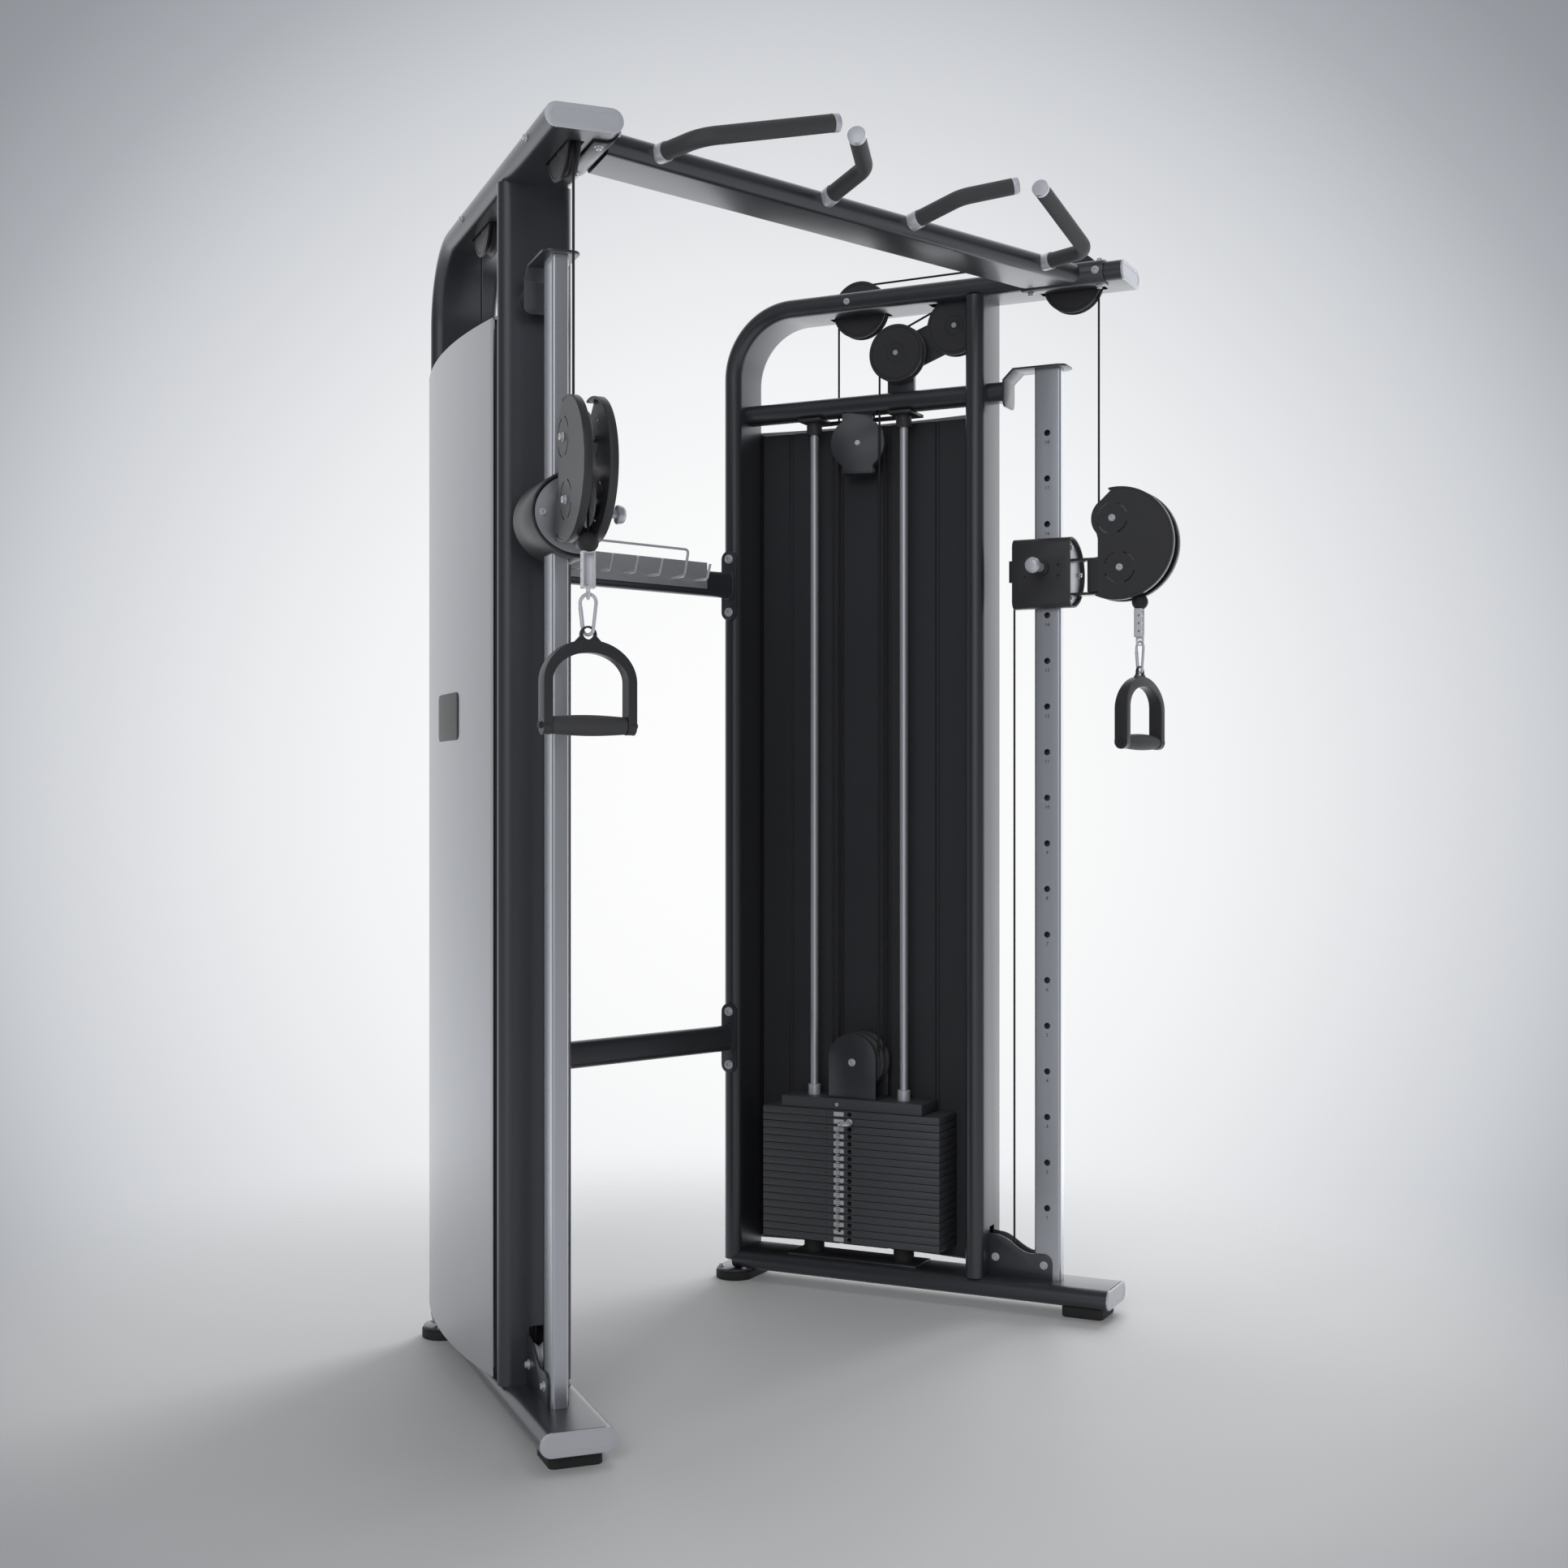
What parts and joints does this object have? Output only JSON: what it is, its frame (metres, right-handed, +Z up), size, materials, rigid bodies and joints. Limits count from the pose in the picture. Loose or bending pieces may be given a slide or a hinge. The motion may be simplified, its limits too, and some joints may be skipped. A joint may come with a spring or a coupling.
{
  "type": "cable crossover machine",
  "caption": "Free-standing two-tower cable trainer with pin-loaded stacks, sliding swivel pulleys, hanging handles and a pull-up bar with bent grips.",
  "frame": {"origin": "on the floor, at the middle of the machine's bounding box", "axes": "+Z up; the open side that the user faces out of is -Y; the machine is mirrored about the X = 0 plane"},
  "size_m": [1.6438, 1.0826, 2.333],
  "materials": {
    "frame_paint": "dark graphite satin powder coat",
    "cover_silver": "silver metallic satin paint",
    "panel_black": "black satin powder coat",
    "chrome": "polished chrome plate",
    "plate_grey": "dark grey painted cast iron",
    "plastic_black": "black moulded plastic, satin",
    "rubber_black": "matt black rubber",
    "steel_satin": "satin steel",
    "cable_black": "black nylon sheath over steel rope"
  },
  "bodies": {
    "frame": {"pull_up_bar": "frame_paint", "upper_beam": "frame_paint", "lower_beam": "frame_paint", "hook_rack": "steel_satin", "left_frame": "frame_paint", "left_side_cover": "cover_silver", "left_inner_panel": "panel_black", "left_guide_rods": "chrome", "left_resting_plates": "plate_grey", "left_column": "chrome", "left_cable": "cable_black", "left_front_foot": "rubber_black", "left_rear_foot": "rubber_black", "right_frame": "frame_paint", "right_side_cover": "cover_silver", "right_inner_panel": "panel_black", "right_guide_rods": "chrome", "right_resting_plates": "plate_grey", "right_column": "chrome", "right_cable": "cable_black", "right_front_foot": "rubber_black", "right_rear_foot": "rubber_black"},
    "left_stack": {"left_head_plate": "plate_grey", "left_lifted_plates": "plate_grey"},
    "left_selector_pin": {"left_selector_pin": "steel_satin"},
    "left_stack_sheaves": {"left_stack_sheaves": "plastic_black"},
    "left_trolley": {"left_trolley": "plastic_black"},
    "left_pop_pin": {"left_pop_pin": "steel_satin"},
    "left_swivel": {"left_swivel_housing": "plastic_black"},
    "left_swivel_pulley_upper": {"left_swivel_pulley_upper": "plastic_black"},
    "left_swivel_pulley_lower": {"left_swivel_pulley_lower": "plastic_black"},
    "left_cable_end": {"left_cable_end": "steel_satin"},
    "left_carabiner": {"left_carabiner": "steel_satin"},
    "left_handle": {"left_handle_yoke": "plastic_black"},
    "left_grip": {"left_handle_grip": "rubber_black"},
    "left_front_top_pulley": {"left_front_top_pulley": "plastic_black"},
    "left_rear_top_pulley": {"left_rear_top_pulley": "plastic_black"},
    "left_rear_mid_pulley": {"left_rear_mid_pulley": "plastic_black"},
    "left_front_mid_pulley": {"left_front_mid_pulley": "plastic_black"},
    "left_crossbar_pulley": {"left_crossbar_pulley": "plastic_black"},
    "left_base_pulley": {"left_base_pulley": "plastic_black"},
    "right_stack": {"right_head_plate": "plate_grey", "right_lifted_plates": "plate_grey"},
    "right_selector_pin": {"right_selector_pin": "steel_satin"},
    "right_stack_sheaves": {"right_stack_sheaves": "plastic_black"},
    "right_trolley": {"right_trolley": "plastic_black"},
    "right_pop_pin": {"right_pop_pin": "steel_satin"},
    "right_swivel": {"right_swivel_housing": "plastic_black"},
    "right_swivel_pulley_upper": {"right_swivel_pulley_upper": "plastic_black"},
    "right_swivel_pulley_lower": {"right_swivel_pulley_lower": "plastic_black"},
    "right_cable_end": {"right_cable_end": "steel_satin"},
    "right_carabiner": {"right_carabiner": "steel_satin"},
    "right_handle": {"right_handle_yoke": "plastic_black"},
    "right_grip": {"right_handle_grip": "rubber_black"},
    "right_front_top_pulley": {"right_front_top_pulley": "plastic_black"},
    "right_rear_top_pulley": {"right_rear_top_pulley": "plastic_black"},
    "right_rear_mid_pulley": {"right_rear_mid_pulley": "plastic_black"},
    "right_front_mid_pulley": {"right_front_mid_pulley": "plastic_black"},
    "right_crossbar_pulley": {"right_crossbar_pulley": "plastic_black"},
    "right_base_pulley": {"right_base_pulley": "plastic_black"}
  },
  "joints": [
    {"name": "left_stack_lift", "type": "slide", "parent": "frame", "child": "left_stack", "axis": [0, 0, 1], "range_m": [0, 0.155], "deforming": ["left_cable"]},
    {"name": "left_selector_pin_pull", "type": "slide", "parent": "left_stack", "child": "left_selector_pin", "axis": [0.9323, -0.3616, 0], "range_m": [0, 0.1]},
    {"name": "left_stack_sheaves_spin", "type": "hinge", "parent": "left_stack", "child": "left_stack_sheaves", "pos_m": [-0.49994, 0.20317, 0.52], "axis": [0.9323, -0.3616, 0], "continuous": true},
    {"name": "left_trolley_slide", "type": "slide", "parent": "frame", "child": "left_trolley", "axis": [0, 0, 1], "range_m": [-1.1, 0.3], "deforming": ["left_cable"]},
    {"name": "left_pop_pin_pull", "type": "slide", "parent": "left_trolley", "child": "left_pop_pin", "axis": [0.9323, -0.3616, 0], "range_m": [-0.0055, 0.006], "stiffness_N_per_m": 300, "springref_m": -0.0055},
    {"name": "left_swivel_turn", "type": "hinge", "parent": "left_trolley", "child": "left_swivel", "pos_m": [-0.70661, -0.32965, 1.606], "axis": [0, 0, 1], "range_deg": [-60, 60]},
    {"name": "left_swivel_pulley_upper_spin", "type": "hinge", "parent": "left_swivel", "child": "left_swivel_pulley_upper", "pos_m": [-0.72017, -0.36461, 1.728], "axis": [0.9323, -0.3616, 0], "continuous": true},
    {"name": "left_swivel_pulley_lower_spin", "type": "hinge", "parent": "left_swivel", "child": "left_swivel_pulley_lower", "pos_m": [-0.72614, -0.38, 1.621], "axis": [0.9323, -0.3616, 0], "continuous": true},
    {"name": "left_handle_pull", "type": "slide", "parent": "left_swivel", "child": "left_cable_end", "axis": [0, 0, -1], "range_m": [0, 0.62]},
    {"name": "left_carabiner_swing", "type": "hinge", "parent": "left_cable_end", "child": "left_carabiner", "pos_m": [-0.7397, -0.41496, 1.4615], "axis": [-0.4035, 0.915, 0], "range_deg": [-15, 15]},
    {"name": "left_handle_swing", "type": "hinge", "parent": "left_carabiner", "child": "left_handle", "pos_m": [-0.7397, -0.41496, 1.3944], "axis": [-0.4035, 0.915, 0], "range_deg": [-15, 15]},
    {"name": "left_grip_spin", "type": "hinge", "parent": "left_handle", "child": "left_grip", "pos_m": [-0.7397, -0.41496, 1.2449], "axis": [0.9573, -0.289, 0], "continuous": true},
    {"name": "left_front_top_pulley_spin", "type": "hinge", "parent": "frame", "child": "left_front_top_pulley", "pos_m": [-0.686, -0.27651, 2.249], "axis": [0.9323, -0.3616, 0], "continuous": true},
    {"name": "left_rear_top_pulley_spin", "type": "hinge", "parent": "frame", "child": "left_rear_top_pulley", "pos_m": [-0.51486, 0.20896, 2.249], "axis": [0.9323, -0.3616, 0], "continuous": true},
    {"name": "left_rear_mid_pulley_spin", "type": "hinge", "parent": "frame", "child": "left_rear_mid_pulley", "pos_m": [-0.52282, 0.09996, 2.133], "axis": [0.9323, -0.3616, 0], "continuous": true},
    {"name": "left_front_mid_pulley_spin", "type": "hinge", "parent": "frame", "child": "left_front_mid_pulley", "pos_m": [-0.57417, -0.03243, 2.18], "axis": [0.9323, -0.3616, 0], "continuous": true},
    {"name": "left_crossbar_pulley_spin", "type": "hinge", "parent": "frame", "child": "left_crossbar_pulley", "pos_m": [-0.49994, 0.20317, 1.9385], "axis": [0.7999, -0.6001, 0], "continuous": true},
    {"name": "left_base_pulley_spin", "type": "hinge", "parent": "frame", "child": "left_base_pulley", "pos_m": [-0.62471, -0.11848, 0.108], "axis": [0.9323, -0.3616, 0], "continuous": true},
    {"name": "right_stack_lift", "type": "slide", "parent": "frame", "child": "right_stack", "axis": [0, 0, 1], "range_m": [0, 0.155], "deforming": ["right_cable"]},
    {"name": "right_selector_pin_pull", "type": "slide", "parent": "right_stack", "child": "right_selector_pin", "axis": [-0.9323, -0.3616, 0], "range_m": [0, 0.1]},
    {"name": "right_stack_sheaves_spin", "type": "hinge", "parent": "right_stack", "child": "right_stack_sheaves", "pos_m": [0.49994, 0.20317, 0.52], "axis": [0.9323, 0.3616, 0], "continuous": true},
    {"name": "right_trolley_slide", "type": "slide", "parent": "frame", "child": "right_trolley", "axis": [0, 0, 1], "range_m": [-1.1, 0.3], "deforming": ["right_cable"]},
    {"name": "right_pop_pin_pull", "type": "slide", "parent": "right_trolley", "child": "right_pop_pin", "axis": [-0.9323, -0.3616, 0], "range_m": [-0.0055, 0.006], "stiffness_N_per_m": 300, "springref_m": -0.0055},
    {"name": "right_swivel_turn", "type": "hinge", "parent": "right_trolley", "child": "right_swivel", "pos_m": [0.70661, -0.32965, 1.606], "axis": [0, 0, 1], "range_deg": [-60, 60]},
    {"name": "right_swivel_pulley_upper_spin", "type": "hinge", "parent": "right_swivel", "child": "right_swivel_pulley_upper", "pos_m": [0.72017, -0.36461, 1.728], "axis": [0.9323, 0.3616, 0], "continuous": true},
    {"name": "right_swivel_pulley_lower_spin", "type": "hinge", "parent": "right_swivel", "child": "right_swivel_pulley_lower", "pos_m": [0.72614, -0.38, 1.621], "axis": [0.9323, 0.3616, 0], "continuous": true},
    {"name": "right_handle_pull", "type": "slide", "parent": "right_swivel", "child": "right_cable_end", "axis": [0, 0, -1], "range_m": [0, 0.62]},
    {"name": "right_carabiner_swing", "type": "hinge", "parent": "right_cable_end", "child": "right_carabiner", "pos_m": [0.7397, -0.41496, 1.4615], "axis": [0.4035, 0.915, 0], "range_deg": [-15, 15]},
    {"name": "right_handle_swing", "type": "hinge", "parent": "right_carabiner", "child": "right_handle", "pos_m": [0.7397, -0.41496, 1.3944], "axis": [0.4035, 0.915, 0], "range_deg": [-15, 15]},
    {"name": "right_grip_spin", "type": "hinge", "parent": "right_handle", "child": "right_grip", "pos_m": [0.7397, -0.41496, 1.2449], "axis": [0.9912, 0.1323, 0], "continuous": true},
    {"name": "right_front_top_pulley_spin", "type": "hinge", "parent": "frame", "child": "right_front_top_pulley", "pos_m": [0.686, -0.27651, 2.249], "axis": [0.9323, 0.3616, 0], "continuous": true},
    {"name": "right_rear_top_pulley_spin", "type": "hinge", "parent": "frame", "child": "right_rear_top_pulley", "pos_m": [0.51486, 0.20896, 2.249], "axis": [0.9323, 0.3616, 0], "continuous": true},
    {"name": "right_rear_mid_pulley_spin", "type": "hinge", "parent": "frame", "child": "right_rear_mid_pulley", "pos_m": [0.52282, 0.09996, 2.133], "axis": [0.9323, 0.3616, 0], "continuous": true},
    {"name": "right_front_mid_pulley_spin", "type": "hinge", "parent": "frame", "child": "right_front_mid_pulley", "pos_m": [0.57417, -0.03243, 2.18], "axis": [0.9323, 0.3616, 0], "continuous": true},
    {"name": "right_crossbar_pulley_spin", "type": "hinge", "parent": "frame", "child": "right_crossbar_pulley", "pos_m": [0.49994, 0.20317, 1.9385], "axis": [0.7999, 0.6001, 0], "continuous": true},
    {"name": "right_base_pulley_spin", "type": "hinge", "parent": "frame", "child": "right_base_pulley", "pos_m": [0.62471, -0.11848, 0.108], "axis": [0.9323, 0.3616, 0], "continuous": true}
  ],
  "couplings": [
    {"joint": "left_handle_pull", "follows": "left_stack_lift", "ratio": 4},
    {"joint": "left_front_top_pulley_spin", "follows": "left_stack_lift", "rad_per_m": 70.175},
    {"joint": "left_rear_top_pulley_spin", "follows": "left_stack_lift", "rad_per_m": 70.175},
    {"joint": "left_stack_sheaves_spin", "follows": "left_stack_lift", "rad_per_m": 35.088},
    {"joint": "left_crossbar_pulley_spin", "follows": "left_stack_lift", "rad_per_m": 33.782},
    {"joint": "left_swivel_pulley_upper_spin", "follows": "left_stack_lift", "rad_per_m": -106.67},
    {"joint": "left_swivel_pulley_lower_spin", "follows": "left_stack_lift", "rad_per_m": 106.67},
    {"joint": "left_front_mid_pulley_spin", "follows": "left_trolley_slide", "rad_per_m": 17.544},
    {"joint": "left_rear_mid_pulley_spin", "follows": "left_trolley_slide", "rad_per_m": 22.222},
    {"joint": "left_base_pulley_spin", "follows": "left_trolley_slide", "rad_per_m": -30.303},
    {"joint": "right_handle_pull", "follows": "right_stack_lift", "ratio": 4},
    {"joint": "right_front_top_pulley_spin", "follows": "right_stack_lift", "rad_per_m": 70.175},
    {"joint": "right_rear_top_pulley_spin", "follows": "right_stack_lift", "rad_per_m": 70.175},
    {"joint": "right_stack_sheaves_spin", "follows": "right_stack_lift", "rad_per_m": 35.088},
    {"joint": "right_crossbar_pulley_spin", "follows": "right_stack_lift", "rad_per_m": 33.782},
    {"joint": "right_swivel_pulley_upper_spin", "follows": "right_stack_lift", "rad_per_m": -106.67},
    {"joint": "right_swivel_pulley_lower_spin", "follows": "right_stack_lift", "rad_per_m": 106.67},
    {"joint": "right_front_mid_pulley_spin", "follows": "right_trolley_slide", "rad_per_m": 17.544},
    {"joint": "right_rear_mid_pulley_spin", "follows": "right_trolley_slide", "rad_per_m": 22.222},
    {"joint": "right_base_pulley_spin", "follows": "right_trolley_slide", "rad_per_m": -30.303}
  ]
}
